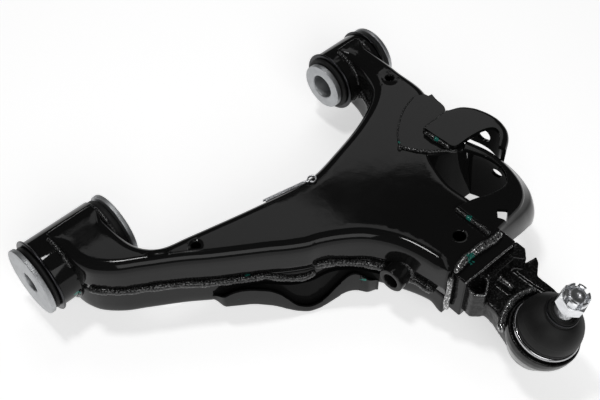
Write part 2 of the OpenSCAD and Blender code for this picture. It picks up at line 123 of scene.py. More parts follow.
def make_studio():
    low = min(p[2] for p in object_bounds())
    bpy.ops.mesh.primitive_plane_add(size=FLOOR_SIZE, location=(-0.15, 0.15, low - 0.0005))
    floor = bpy.context.object
    floor.name = "floor"
    material, shader, _ = new_material("floor_white")
    feed(shader, {"Base Color": (0.93, 0.93, 0.93, 1), "Roughness": 0.9, "Specular IOR Level": 0.1,
                  "Emission Color": (1, 1, 1, 1), "Emission Strength": FLOOR_GLOW})
    floor.data.materials.append(material)
    floor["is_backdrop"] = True
    world = bpy.data.worlds.new("studio")
    bpy.context.scene.world = world
    world.use_nodes = True
    feed(world.node_tree.nodes["Background"], {"Color": (1, 1, 1, 1), "Strength": SKY_STRENGTH})
    area_light("rear_box", (-0.65, -0.72, 1.5), (0.7, 0.84), 1.3)
    area_light("side_box", (-1.49, -0.886, 1.5), (0.7, 0.7), 1.3, yaw=-34)
    area_light("front_box", (0.5, 1.4, 1.1), (1.3, 1.0), 2.7, target=ARM_MIDDLE)
    area_light("spark_box", (0.05, -0.15, 1.9), (0.25, 0.25), 40, target=ARM_MIDDLE)
    bpy.context.scene.view_settings.view_transform = "Standard"


# ---------------- shader tools

def feed(node, inputs):
    """Links a socket to each named input of a node, or sets the input to a fixed value."""
    for key, value in inputs.items():
        if isinstance(value, bpy.types.NodeSocket):
            node.id_data.links.new(value, node.inputs[key])
        else:
            node.inputs[key].default_value = value


def new_material(name):
    """A new material with its shader and its object coordinates."""
    material = bpy.data.materials.new(name)
    material.use_nodes = True
    tree = material.node_tree
    return material, tree.nodes["Principled BSDF"], add_node(tree, "ShaderNodeTexCoord").outputs["Object"]


def add_node(tree, kind, inputs=None, **settings):
    node = tree.nodes.new(kind)
    for key, value in settings.items():
        setattr(node, key, value)
    feed(node, inputs or {})
    return node


def noise_node(coords, scale, detail=4.0, rough=0.55):
    inputs = {"Vector": coords, "Scale": scale, "Detail": detail, "Roughness": rough}
    return add_node(coords.id_data, "ShaderNodeTexNoise", inputs).outputs["Fac"]


def ramp(value, stops):
    """Colour ramp over a value; each stop is (position, colour or grey level)."""
    node = add_node(value.id_data, "ShaderNodeValToRGB", {"Fac": value})
    while len(node.color_ramp.elements) < len(stops):
        node.color_ramp.elements.new(0.5)
    for element, (at, colour) in zip(node.color_ramp.elements, stops):
        element.position = at
        element.color = (*colour, 1) if isinstance(colour, tuple) else (colour, colour, colour, 1)
    return node.outputs["Color"]


def calc(tree, operation, *values):
    """Result of a math node fed with sockets or fixed values."""
    return add_node(tree, "ShaderNodeMath", dict(enumerate(values)), operation=operation).outputs[0]


def vector_calc(tree, operation, *values, result="Value"):
    """The same with a vector math node."""
    node = add_node(tree, "ShaderNodeVectorMath", dict(enumerate(values)), operation=operation)
    return node.outputs[result]


def bump(shader, heights):
    """Chain of bumps on a shader, each (height socket, strength, distance in metres)."""
    normal = None
    for height, strength, distance in heights:
        inputs = {"Height": height, "Strength": strength, "Distance": distance}
        if normal:
            inputs["Normal"] = normal
        normal = add_node(shader.id_data, "ShaderNodeBump", inputs).outputs["Normal"]
    feed(shader, {"Normal": normal})


# ---------------- materials

# Teal paint marks left by inspection: (place, radius)
PAINT_MARKS = [
    ((-103, 133, 2), 3.2), ((-300, 136, 43), 2.0), ((-327.5, 160, 45), 2.8),
    ((-279, 246, 43), 3.4), ((-218, 233, 6), 3.0), ((-214, 262, 3), 3.0),
    ((-247, 276, 40), 5.5), ((22, 35, -8), 3.0), ((-92, 133, -20), 4.0),
    ((-186, 203, -16), 4.0)]
MARK_COLOUR = (0.013, 0.15, 0.12, 1)
# In radii of a mark: how far its edge wanders inwards, and from where
MARK_WANDER, MARK_REACH = 1.6, 1.75


def paint_marks(coords, base):
    """Colour with the marks over a base colour."""
    tree = coords.id_data
    warp = noise_node(coords, 260, 3)
    colour = base
    for place, radius in PAINT_MARKS:
        distance = vector_calc(tree, "DISTANCE", coords, [v * MM for v in place])
        edge = calc(tree, "MULTIPLY_ADD", warp, radius * MARK_WANDER * MM, distance)
        mask = calc(tree, "LESS_THAN", edge, radius * MARK_REACH * MM)
        inputs = {"Factor": mask, "A": colour, "B": MARK_COLOUR}
        colour = add_node(tree, "ShaderNodeMix", inputs, data_type="RGBA").outputs["Result"]
    return colour


POCKET_AT = (-0.325, 0.212, -0.005)
# In metres: distances from there between which the painted shade fades out, and how far ahead of a
# face that point has to be
POCKET_NEAR, POCKET_FAR, POCKET_AHEAD = 0.08, 0.1, 0.004
# Specular levels: the paint's own shine, and what is left of it under painted shade
SHINE, SHINE_IN_PAINTED_SHADE = 0.17, 0.01


def shine_with_painted_shade(coords):
    """Shine of the paint, with painted shade: the shine is nearly gone on faces that look into the
    shock absorber's pocket and where a piece stores an amount of painted shade, so these read as dark shade."""
    tree = coords.id_data
    inward = vector_calc(tree, "SUBTRACT", POCKET_AT, coords, result="Vector")
    normal = add_node(tree, "ShaderNodeNewGeometry").outputs["Normal"]
    facing = calc(tree, "GREATER_THAN", vector_calc(tree, "DOT_PRODUCT", inward, normal), POCKET_AHEAD)
    near = ramp(vector_calc(tree, "LENGTH", inward), [(POCKET_NEAR, 1), (POCKET_FAR, 0)])
    pocket = calc(tree, "MULTIPLY", near, facing)
    shade_amount = add_node(tree, "ShaderNodeAttribute", attribute_name="shade_amount").outputs["Fac"]
    return ramp(calc(tree, "MAXIMUM", pocket, shade_amount), [(0.0, SHINE), (1.0, SHINE_IN_PAINTED_SHADE)])


def gloss_paint(name, waviness=1.0, rough=0.06, marks=True):
    """Gloss black electrocoat: orange peel, faint waves of the sheet, and dust."""
    material, shader, coords = new_material(name)
    patches = noise_node(coords, 28, 5)
    dust = noise_node(coords, 900, 2, 0.7)
    base = ramp(dust, [(0.0, 0.006), (0.72, 0.008), (0.8, 0.03)])
    # Its specular level carries painted shade in the shock pocket and on pieces that store it
    feed(shader, {"Base Color": paint_marks(coords, base) if marks else base,
                  "Roughness": ramp(patches, [(0.3, rough * 0.75), (0.7, rough * 1.45)]),
                  "Specular IOR Level": shine_with_painted_shade(coords), "Coat Weight": 0.03, "Coat Roughness": 0.03})
    bump(shader, [(noise_node(coords, 30, 2), 0.25 * waviness, 0.0006),
                  (noise_node(coords, 420, 3), 0.12 * waviness, 0.00012), (dust, 0.08, 0.0001)])
    return material


def weld_paint(name, sparkle=0.22, coat=0.9):
    """Painted weld bead: pitted and glossy, so that it sparkles; bare metal shows on its peaks."""
    material, shader, coords = new_material(name)
    grit = noise_node(coords, 620, 5, 0.65)
    base = ramp(grit, [(0.48, 0.008), (0.56, sparkle * 0.4), (0.64, sparkle)])
    feed(shader, {"Metallic": ramp(grit, [(0.5, 0), (0.57, min(1, sparkle * 1.3))]),
                  "Base Color": paint_marks(coords, base), "Roughness": ramp(grit, [(0.3, 0.08), (0.8, 0.3)]),
                  "Specular IOR Level": 0.2 + 0.3 * coat, "Coat Weight": coat, "Coat Roughness": 0.05})
    bump(shader, [(noise_node(coords, 240, 4), 0.5, 0.0008), (grit, 0.45, 0.0003)])
    return material


def cast_paint(name):
    """Black paint on a rough forging."""
    material, shader, coords = new_material(name)
    grain = noise_node(coords, 520, 6, 0.6)
    feed(shader, {"Base Color": ramp(grain, [(0.5, 0.005), (0.72, 0.03)]),
                  "Roughness": ramp(grain, [(0.3, 0.1), (0.7, 0.26)]),
                  "Specular IOR Level": 0.22, "Coat Weight": 0.08, "Coat Roughness": 0.08})
    bump(shader, [(noise_node(coords, 150, 4), 0.4, 0.0006), (grain, 0.4, 0.00025)])
    return material


def metal(name, tone, rough, grain_scale, grain_depth, spread=0.25):
    """Bare metal with blotches and a fine grain."""
    material, shader, coords = new_material(name)
    blotch = noise_node(coords, 90, 5)
    grain = noise_node(coords, grain_scale, 4, 0.6)
    dark = tuple(c * (1 - spread) for c in tone)
    light = tuple(min(1, c * (1 + spread)) for c in tone)
    feed(shader, {"Base Color": ramp(blotch, [(0.3, dark), (0.7, light)]),
                  "Roughness": ramp(grain, [(0.3, rough * 0.8), (0.7, rough * 1.25)]), "Metallic": 1.0})
    bump(shader, [(grain, 0.3, grain_depth)])
    return material


def rubber(name, tone, rough):
    """Moulded rubber or plastic with a fine matt skin and a trace of bloom."""
    material, shader, coords = new_material(name)
    bloom = noise_node(coords, 70, 5)
    feed(shader, {"Base Color": ramp(bloom, [(0.3, tone), (0.75, tone * 1.9)]),
                  "Roughness": ramp(bloom, [(0.3, rough), (0.7, rough * 1.2)]), "Specular IOR Level": 0.22})
    bump(shader, [(noise_node(coords, 1500, 3), 0.2, 0.0001), (noise_node(coords, 200, 3), 0.1, 0.0003)])
    return material


# Each look: the slot that it goes in, and its material
LOOKS = {
    "paint": ("black_paint", gloss_paint("gloss_black")),
    "weld": ("weld", weld_paint("weld_black", 0.12, 0.25)),
    "bare_weld": ("weld", weld_paint("weld_bright", 0.9)),
    "cast": ("cast_black", cast_paint("cast_black")),
    "housing": ("housing_steel", gloss_paint("housing_black", 0.5, 0.25, False)),
    "dark_steel": ("dark_steel", metal("dark_steel", (0.045, 0.045, 0.048), 0.32, 700, 0.0001)),
    "grey": ("grey_steel", metal("grey_steel", (0.45, 0.46, 0.47), 0.5, 900, 0.00012, 0.12)),
    "ring": ("bright_ring", metal("ring_steel", (0.42, 0.42, 0.43), 0.22, 500, 0.00005)),
    "zinc": ("bright_zinc", metal("bright_zinc", (0.78, 0.79, 0.81), 0.32, 400, 0.00006, 0.1)),
    "boot": ("boot_rubber", rubber("boot_rubber", 0.008, 0.5)),
    "rubber": ("bush_rubber", rubber("bush_rubber", 0.008, 0.55)),
    "plastic": ("seat_plastic", rubber("acetal", 0.4, 0.4))}


# ---------------- mesh tools

def finish_piece(piece, node, look, sharp=0, body=ARM):
    """Gives a piece its material and body, and hides the CAD node that it stands for.

    With sharp, edges above that many degrees stay sharp and large faces stay flat.
    """
    slot_name, material = LOOKS[look]
    piece.data.materials.clear()
    piece.data.materials.append(material)
    for face in piece.data.polygons:
        face.use_smooth = True
    if sharp:
        piece.data.set_sharp_from_angle(angle=math.radians(sharp))
        modified(piece, "WEIGHTED_NORMAL", keep_sharp=True)
    if node:
        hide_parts(node)
    if body:
        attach(piece, body)


def mesh_object(name, verts, faces):
    data = bpy.data.meshes.new(name)
    data.from_pydata([tuple(v) for v in verts], [], faces)
    mesh = bmesh.new()
    mesh.from_mesh(data)
    bmesh.ops.recalc_face_normals(mesh, faces=mesh.faces)
    mesh.to_mesh(data)
    mesh.free()
    piece = bpy.data.objects.new(name, data)
    bpy.context.scene.collection.objects.link(piece)
    return piece


def modified(piece, kind, **settings):
    """Puts a piece through a modifier with these settings."""
    modifier = piece.modifiers.new(kind, kind)
    for key, value in settings.items():
        setattr(modifier, key, value)
    bpy.context.view_layer.update()
    graph = bpy.context.evaluated_depsgraph_get()
    data = bpy.data.meshes.new_from_object(piece.evaluated_get(graph))
    piece.modifiers.clear()
    piece.data = data
    return piece


def bevelled(piece, width, segments=2, angle=50):
    """Bevels every edge above an angle in degrees; the width is in mm."""
    return modified(piece, "BEVEL", width=width * MM, segments=segments, limit_method="ANGLE",
                    angle_limit=math.radians(angle))


def cut(piece, *tools, mode="DIFFERENCE"):
    """Combines tools with a piece, and removes them."""
    for tool in tools:
        modified(piece, "BOOLEAN", operation=mode, solver="EXACT", object=tool)
        bpy.data.objects.remove(tool)


def resample(points, spacing, closed=False, corner=55):
    """A smooth curve through the points at an even spacing; turns sharper than corner stay sharp."""
    points = [Vector(p) for p in points]
    count = len(points)
    smooth = []
    spans = count if closed else count - 1
    for i in range(spans):
        p1, p2 = points[i], points[(i + 1) % count]
        p0 = points[i - 1] if closed or i else p1
        p3 = points[(i + 2) % count] if closed or i + 2 < count else p2
        tangent = [(p2 - p0) / 2, (p3 - p1) / 2]
        for k, (a, b, c) in enumerate(((p0, p1, p2), (p1, p2, p3))):
            if (b - a).length < 1e-9 or (c - b).length < 1e-9 or (b - a).angle(c - b) > math.radians(corner):
                tangent[k] = p2 - p1
        length = (p2 - p1).length
        tangent = [t.normalized() * length for t in tangent]
        steps = max(1, round(length / spacing))
        for j in range(steps):
            t = j / steps
            smooth.append(p1 * (2 * t ** 3 - 3 * t * t + 1) + tangent[0] * (t ** 3 - 2 * t * t + t)
                          + p2 * (3 * t * t - 2 * t ** 3) + tangent[1] * (t ** 3 - t * t))
    if not closed:
        smooth.append(points[-1])
    return smooth


def fillet(profile, radius, steps=3):
    """A closed profile with each corner rounded."""
    out = []
    count = len(profile)
    for i in range(count):
        a, b, c = (Vector(profile[(i + k) % count]) for k in (-1, 0, 1))
        reach = min(radius, 0.45 * (a - b).length, 0.45 * (c - b).length)
        start, end = b + (a - b).normalized() * reach, b + (c - b).normalized() * reach
        for k in range(steps + 1):
            t = k / steps
            out.append(start * (1 - t) ** 2 + b * 2 * t * (1 - t) + end * t * t)
    return out


def ring_faces(rings, sides, closed=False):
    """Faces between rings of vertices in a row; they close on themselves, or their ends are capped."""
    faces = []
    for i in range(rings if closed else rings - 1):
        a, b = i * sides, (i + 1) % rings * sides
        faces += [(a + k, a + (k + 1) % sides, b + (k + 1) % sides, b + k) for k in range(sides)]
    if not closed:
        faces += [tuple(range(sides)), tuple(range((rings - 1) * sides, rings * sides))]
    return faces


def circle(radius, sides):
    """Points of a circle round the origin, as (x, y)."""
    turns = [2 * math.pi * k / sides for k in range(sides)]
    return [(radius * math.cos(t), radius * math.sin(t)) for t in turns]


def lathe(name, profile, place, segments=96, round_r=0.4, steps=3):
    """Turned solid from a closed [radius, along] profile in mm, about the Z axis of place."""
    ring = fillet(profile, round_r, steps) if round_r else [Vector(p) for p in profile]
    verts = [place @ Vector((r * u * MM, r * v * MM, z * MM))
             for u, v in circle(1, segments) for r, z in ring]
    return mesh_object(name, verts, ring_faces(segments, len(ring), closed=True))


def prism(name, outline, z0, z1):
    """Closed slab from an outline and two heights, in mm."""
    verts = [Vector((p[0], p[1], z)) * MM for z in (z0, z1) for p in outline]
    return mesh_object(name, verts, ring_faces(2, len(outline)))


def placed(at, along):
    """Place at a point in mm whose Z axis lies along a direction."""
    turn = Vector(along).to_track_quat("Z", "Y").to_matrix().to_4x4()
    return Matrix.Translation(Vector(at) * MM) @ turn


def mount_line(number):
    """A mount's place in mm, its axis and its sizes."""
    mount = frame["record"]["mounts"][number]
    return Vector(mount["pos_m"]) / MM, Vector(mount["axis"]), mount["dims"]


def rod(name, at, along, radius, length, segments=48):
    """Tool that cuts a hole, in mm, from at along a direction."""
    place = placed(at, along)
    verts = [place @ (Vector((x, y, z)) * MM) for z in (0, length) for x, y in circle(radius, segments)]
    return mesh_object(name, verts, ring_faces(2, segments))


def grid_faces(rows, columns):
    return [(r * columns + c, r * columns + c + 1, (r + 1) * columns + c + 1, (r + 1) * columns + c)
            for r in range(rows - 1) for c in range(columns - 1)]


def turn_flat_face(piece, side):
    """Flips the faces unless the largest level face looks up, or down where side is -1."""
    best = max(piece.data.polygons, key=lambda f: f.area * abs(f.normal.z))
    if best.normal.z * side < 0:
        piece.data.flip_normals()


def thickened(piece, thickness, offset=-1):
    """Gives a sheet a thickness in mm, by default behind its faces."""
    return modified(piece, "SOLIDIFY", thickness=thickness * MM, offset=offset)


def weld_bead(path, radius, seed, pitch=3.4, sides=14):
    """Verts and faces of a rippled bead along a path in mm, closed at both ends."""
    spacing = 0.9
    line = resample(path, spacing)
    verts = []
    shift = Vector((seed * 7.3, seed * 3.1, seed * 1.7))
    travelled = 0.0
    for i, p in enumerate(line):
        ahead = line[min(i + 1, len(line) - 1)] - line[max(i - 1, 0)]
        ahead.normalize()
        side = ahead.cross(Vector((0, 0, 1)))
        side = side.normalized() if side.length > 0.1 else ahead.cross(Vector((1, 0, 0))).normalized()
        over = side.cross(ahead)
        travelled += (p - line[i - 1]).length if i else 0
        taper = min(1, (min(i, len(line) - 1 - i) + 0.6) * spacing / radius) ** 0.5
        wave = (travelled / pitch) % 1.0
        size = radius * taper * (1 + 0.16 * (wave - 0.5) + 0.28 * noise.noise(p * 0.11 + shift))
        wander = 0.35 * radius * noise.noise(p * 0.07 + shift * 2)
        for u, v in circle(1, sides):
            q = p + over * (u * size + wander) + side * v * size
            q += (q - p).normalized() * noise.noise(q * 0.55 + shift) * 0.11 * radius
            verts.append(q * MM)
    return verts, ring_faces(len(line), sides)


def beads(name, runs):
    """Several weld beads as one piece; each run is (path, radius)."""
    verts, faces = [], []
    for i, (path, radius) in enumerate(runs):
        v, f = weld_bead(path, radius, i + 1)
        faces += [tuple(k + len(verts) for k in face) for face in f]
        verts += v
    return mesh_object(name, verts, faces)


# ---------------- plan of the arm, in mm

FRONT_WALL = [
    (17, -9), (17, 12), (17.5, 28), (15, 40), (9, 52), (-6, 67), (-23, 78), (-55, 99), (-75, 114),
    (-95, 128), (-122, 146.5), (-132, 154), (-141, 160), (-151, 166), (-162, 170.5), (-178, 180),
    (-194, 192.5), (-204, 205), (-213, 222), (-219, 245), (-222, 273)]
TIP_WALL = [(-292, 273), (-299, 233), (-298, 206), (-303, 186), (-313, 166)]
REAR_WALL = [(-345, 143), (-373, 106), (-376, 60), (-378, 36), (-380, 12), (-380, -5)]
INNER_WALL = [
    (-353, -5), (-353, 12), (-349, 36), (-335, 64), (-300, 84), (-245, 99), (-205, 105), (-150, 96),
    (-75, 79), (-52, 73), (-40, 62), (-34, 46), (-33, 12), (-33, -9)]
OUTLINE = FRONT_WALL + TIP_WALL + REAR_WALL + INNER_WALL

SHEET = 4.0
SEAM_Z = 3.0
TOP_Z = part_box("upper_shell")[1].z / MM
BOTTOM_Z = -38.0
SKIN = 3.2
HOLE_SIDES = 28
FACE_GRID = 5.0
# X that parts the front leg's bush from the rear leg's
LEG_SPLIT_X = -200
# How far the bottom face rises at the arm's end
TIP_RISE = 10
FRONT_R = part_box("front_bush_tube")[1].z / MM
REAR_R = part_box("rear_bush_tube")[1].z / MM
REAR_X = frame["record"]["mounts"][1]["pos_m"][0] / MM
# Holes in the top face: (x, y, hole radius, dish radius, dish depth)
TOP_HOLES = [(-75, 96, 4.5, 7.5, 0.8), (-359, 66, 4.5, 13, 0.8), (-259, 252, 6, 8, 0.35)]
DRAIN_HOLES = [(-60, 86, 7, 10, 0.6), (-170, 140, 7, 10, 0.6), (-362, 72, 7, 10, 0.6)]


def smoothstep(low, high, v):
    t = max(0.0, min(1.0, (v - low) / (high - low)))
    return t * t * (3 - 2 * t)


def face_height(x, y, plane):
    """Height of a shell's flat face, which runs down onto the bush tubes at the legs' ends."""
    crown, reach = (FRONT_R + SHEET, 45) if x > LEG_SPLIT_X else (REAR_R + SHEET, 62)
    if y <= 0:
        return math.sqrt(max(crown ** 2 - y * y, 0))
    if plane < 0:
        plane += TIP_RISE * smoothstep(215, 268, y)
    return crown + (abs(plane) - crown) * smoothstep(0, reach, y)


def fold_radius(p):
    """Radius of the fold at the edge: sharp at cut ends, tight at the shock pocket, else wide."""
    if p.y < -2 or p.y > 271:
        return 1.0
    if p.y > 160 and p.x < -285:
        return 4.0 * smoothstep(271, 262, p.y) + 1.0
    return 1.0 + 9.5 * smoothstep(-2, 14, p.y) * smoothstep(271, 258, p.y)


def shell(name, side, plane, holes):
    """Outer skin of one pressed shell: wall, fold and a face with dished holes, then thickened."""
    spacing = 3.0
    line = [p.xy for p in resample([(*p, 0) for p in OUTLINE], spacing, closed=True)]
    n = len(line)
    normals = []
    for i in range(n):
        t = (line[(i + 1) % n] - line[i - 1]).normalized()
        normals.append(Vector((-t.y, t.x)))
    verts, faces = [], []
    fold_steps, wall_steps = 7, 4
    for i, p in enumerate(line):
        top = face_height(p.x, p.y, plane)
        r = fold_radius(p)
        low = SEAM_Z * side
        column = [(0, low + (top - r - low) * k / wall_steps) for k in range(wall_steps)]
        column += [(r * (1 - math.cos(math.pi / 2 * k / fold_steps)),
                    top - r + r * math.sin(math.pi / 2 * k / fold_steps)) for k in range(fold_steps + 1)]
        verts += [Vector((*(p + normals[i] * inset), z)) for inset, z in column]
    rows = wall_steps + fold_steps + 1
    for i in range(n):
        a, b = i * rows, (i + 1) % n * rows
        faces += [(a + k, b + k, b + k + 1, a + k + 1) for k in range(rows - 1)]
    rim = [i * rows + rows - 1 for i in range(n)]
    flat = [verts[i].xy for i in rim]
    edges = [(i, (i + 1) % n) for i in range(n)]
    for x, y, r, dish, depth in holes:
        for ring_r in (r, r + 1.0, (r + dish) / 2, dish, dish + 1):
            first = len(flat)
            flat += [Vector((x + u, y + v)) for u, v in circle(ring_r, HOLE_SIDES)]
            edges += [(first + k, first + (k + 1) % HOLE_SIDES) for k in range(HOLE_SIDES)]
    inside = [v for v in grid_points(flat[:n], FACE_GRID)
              if all(math.hypot(v.x - h[0], v.y - h[1]) > h[3] + 4 for h in holes)]
    flat += inside
    points, _, triangles, source, _, _ = delaunay_2d_cdt(flat, edges, [], 0, 1e-4)
    loop = [Vector(p) for p in flat[:n]]
    index = {}
    for i, sources in enumerate(source):
        known = [s for s in sources if s < n]
        if known:
            index[i] = rim[known[0]]
            continue
        p = points[i]
        z = face_height(p.x, p.y, plane)
        for x, y, r, dish, depth in holes:
            z -= depth * (1 - smoothstep(r, dish, math.hypot(p.x - x, p.y - y)))
        index[i] = len(verts)
        verts.append(Vector((p.x, p.y, z)))
    for t in triangles:
        centre = sum((points[i] for i in t), Vector((0, 0))) / len(t)
        if any(math.hypot(centre.x - h[0], centre.y - h[1]) < h[2] * 0.985 for h in holes):
            continue
        if inside_loop(centre, loop):
            faces.append(tuple(index[i] for i in t))
    verts = [Vector((v.x, v.y, v.z * side)) * MM for v in verts]
    faces = [f for f in faces if not all(hidden_in_tube(verts[i]) for i in f)]
    piece = mesh_object(name, verts, faces)
    turn_flat_face(piece, side)
    return thickened(piece, SKIN)


def grid_points(loop, step):
    """Points of a square grid that lie inside a loop and not too near to its corners."""
    xs = [p.x for p in loop]
    ys = [p.y for p in loop]
    out = []
    y = min(ys) + step
    while y < max(ys):
        x = min(xs) + step
        while x < max(xs):
            p = Vector((x, y))
            if inside_loop(p, loop) and min((p - q).length_squared for q in loop) > (0.6 * step) ** 2:
                out.append(p)
            x += step
        y += step
    return out


def inside_loop(p, loop):
    """True when a point lies inside a closed loop."""
    found = False
    for i, a in enumerate(loop):
        b = loop[i - 1]
        if (a.y > p.y) != (b.y > p.y) and p.x < (b.x - a.x) * (p.y - a.y) / (b.y - a.y) + a.x:
            found = not found
    return found


def hidden_in_tube(v):
    """True well inside a bush tube, where no sheet can be."""
    x, r = v.x / MM, math.hypot(v.y, v.z) / MM
    return (x > LEG_SPLIT_X and r < FRONT_R - 2) or (x < -340 and r < REAR_R - 2)


# Zero of distances along the front wall, and the direction of its straight part
WALL_START = Vector((-30, 81))
WALL_ANGLE = math.radians(145)
WALL_AHEAD = Vector((math.cos(WALL_ANGLE), math.sin(WALL_ANGLE)))
# Heights of the two beads on the front wall, as (distance along its straight part, height)
SEAM_HEIGHTS = [
    (-58, 4), (-30, 3), (0, 3), (36, 1), (63, -1), (105, 1), (119, -4), (132, -9), (147, -8), (162, 0)]
PATCH_HEIGHTS = [(152, 5), (156, 5), (174, 4), (188, 1), (215, -3), (262, -2)]


def on_wall(t, z, out):
    """Point out mm off the front wall at a distance along its straight part, in mm."""
    points = [Vector(p) for p in FRONT_WALL]
    for a, b in zip(points[3:], points[4:]):
        ta, tb = ((p - WALL_START).dot(WALL_AHEAD) for p in (a, b))
        if ta <= t <= tb or b == points[-1]:
            along = (b - a).normalized()
            p = a.lerp(b, (t - ta) / (tb - ta)) + Vector((along.y, -along.x)) * out
            return Vector((p.x, p.y, z))


def height_at(table, t):
    """Height from a [distance, height] table, its corners rounded."""
    total = 0.0
    for shift in (-5, -3, -1, 1, 3, 5):
        u = max(table[0][0], min(table[-1][0], t + shift))
        i = max(k for k in range(len(table) - 1) if table[k][0] <= u)
        (a, za), (b, zb) = table[i], table[i + 1]
        total += za + (zb - za) * (u - a) / (b - a)
    return total / 6


def make_shells():
    for name, side, plane, holes in (("upper_pressing", 1, TOP_Z, TOP_HOLES),
                                     ("lower_pressing", -1, BOTTOM_Z, DRAIN_HOLES)):
        node = "upper_shell" if side > 0 else "lower_shell"
        finish_piece(shell(name, side, plane, holes), node, "paint")


def make_tubes():
    for name, x, half, outer, bore in (("front_tube", 0, 36, FRONT_R, 31.5),
                                       ("rear_tube", REAR_X, 25, REAR_R, 28)):
        profile = [(bore, -half), (outer, -half), (outer, half), (bore, half)]
        piece = lathe(name, profile, along_x(x), 128, 0.8)
        finish_piece(piece, name.replace("_tube", "_bush_tube"), "paint")


def along_x(x):
    """Place whose Z axis lies along +X, centred at x mm on the pivot axis."""
    return Matrix.Translation((x * MM, 0, 0)) @ Matrix.Rotation(math.pi / 2, 4, "Y")


# ---------------- welds

def arc_on_tube(x, r, start, end, count=14):
    """Points round a tube on the pivot axis; angles in degrees from +Y towards +Z."""
    turns = [math.radians(start + (end - start) * k / count) for k in range(count + 1)]
    return [(x, r * math.cos(t), r * math.sin(t)) for t in turns]


# Runs of bead, each (points, radius), where the wrapped sheets end on the bush tubes
TUBE_RUNS = [
    (arc_on_tube(18.4, FRONT_R + 0.6, 98, 40), 2.2),
    (arc_on_tube(-34.4, FRONT_R + 0.6, 98, 40), 1.8),
    ([(x, -10, 33.9) for x in (15, 0, -15, -31)], 1.6),
    (arc_on_tube(REAR_X + 12.2, REAR_R + 0.6, 96, 15), 2.4),
    (arc_on_tube(REAR_X - 17.2, REAR_R + 0.6, 96, 30), 1.8),
    ([(x, -6, 30.6) for x in (-355, -366, -378)], 1.3),
    (arc_on_tube(18.4, FRONT_R + 0.6, -10, -95), 2.0),
    (arc_on_tube(REAR_X + 12.2, REAR_R + 0.6, -10, -95), 2.0)]
# Round the straps and the patch plate
STRAP_RUNS = [
    ([(-279, 229, 41.5), (-278.5, 240, 42.5), (-279, 255, 42.5), (-279.5, 271, 41.5)], 2.4),
    ([(-366, 142, 43), (-350, 142.5, 43.5), (-336, 142.5, 43.5), (-328, 143, 43.5)], 2.2),
    ([(-326.6, 145, 43.5), (-327.4, 156, 44), (-328.6, 168, 44), (-329.3, 176, 43.5)], 2.6),
    ([(-356, 103, 41), (-335, 109, 41), (-320, 117.5, 41), (-308, 126.5, 41),
      (-296, 141, 41)], 0.9),
    ([(-297, 141, 41), (-304, 153, 41), (-313, 165, 41)], 1.6),
    ([(-293.5, 143, 41), (-298, 139, 41)], 2.6),
    ([(-311, 163, 41), (-322, 172, 41.3), (-334, 182, 41)], 1.7)]
# Round the box at the arm's end
TIP_RUNS = [
    ([(-226, 276.5, 39), (-243, 273.5, 39.5), (-260, 274, 39.5), (-277, 276, 39.5),
      (-290, 275.5, 38)], 3.8),
    ([(-222, 276, 34), (-221, 277, 15), (-221, 277, -4), (-222, 277, -16)], 2.6),
    ([(-295, 276, 34), (-295.5, 277, 12), (-295.5, 277, -4), (-295, 277, -16)], 3.0),
    ([(-226, 289.5, 36), (-245, 290.5, 36), (-262, 290.5, 36), (-288, 291, 36)], 1.1)]


def make_welds():
    seam = [on_wall(t, height_at(SEAM_HEIGHTS, t), 1.2) for t in range(-56, 160, 6)]
    patch = [on_wall(t, height_at(PATCH_HEIGHTS, t), 1.4) for t in range(152, 262, 6)]
    inner = [(x, y, SEAM_Z) for x, y in INNER_WALL[2:-2]]
    for name, node, look, runs in (
            ("front_seam_bead", "seam_weld_front", "weld", [(seam, 3.6), (patch, 3.9)]),
            ("inner_seam_bead", "seam_weld_inner", "weld", [(inner, 2.8)]),
            ("tube_end_beads", "tube_welds", "weld", TUBE_RUNS),
            ("strap_beads", "strap_welds", "weld", STRAP_RUNS),
            ("tip_beads", "tip_weld", "bare_weld", TIP_RUNS)):
        finish_piece(beads(name, runs), node, look)


# ---------------- straps and brackets

# Stations along a bent sheet: outer edge, inner edge, height of the wall's lower edge, lean of the
# wall towards -X, belly of the wall
RING_STATIONS = [
    ((-281, 272), (-281, 230), -10, 0, 0), ((-300, 271), (-291, 232), -10, 4, 1),
    ((-314, 270), (-301, 235), -11, 13, 2), ((-329, 268), (-313, 240), -16, 24, 3),
    ((-341, 262), (-327, 243), -30, 30, 6), ((-350, 251), (-338, 241), -44, 30, 8),
    ((-356, 235), (-346, 231), -52, 27, 9), ((-359, 217), (-348, 217), -53, 23, 9),
    ((-358, 199), (-345, 202), -53, 20, 8), ((-352, 178), (-338, 187), -52, 17, 6)]
EAR_STATIONS = [
    ((-366, 143), (-328, 144), 16, 0, 0), ((-378, 148), (-328.5, 157), 8, 0, 0),
    ((-386, 157), (-329.5, 169), 3, 0, 0), ((-389.5, 165), (-330, 177), 2, 0, 0),
    ((-391.5, 172), (-335, 180.5), 2, 0, 0), ((-392.3, 178), (-350, 181), 2, 0, 0),
    ((-392.5, 184), (-367, 183.5), 2, 0, 0), ((-391, 192), (-378, 189), 2, 0, 0),
    ((-387, 201), (-378, 197), 4, 0, 0), ((-379, 209), (-372, 203), 8, 0, 0),
    ((-367, 216), (-363, 209), 14, 0, 0)]
# Makes the greatest swell of a wall about equal to its belly
BELLY_GAIN = 2.6


def paint_in_shade(piece, amounts):
    """Stores on each vertex how much painted shade takes away the paint's shine there, 0 to 1."""
    layer = piece.data.attributes.new("shade_amount", "FLOAT", "POINT")
    for value, amount in zip(layer.data, amounts):
        value.value = amount


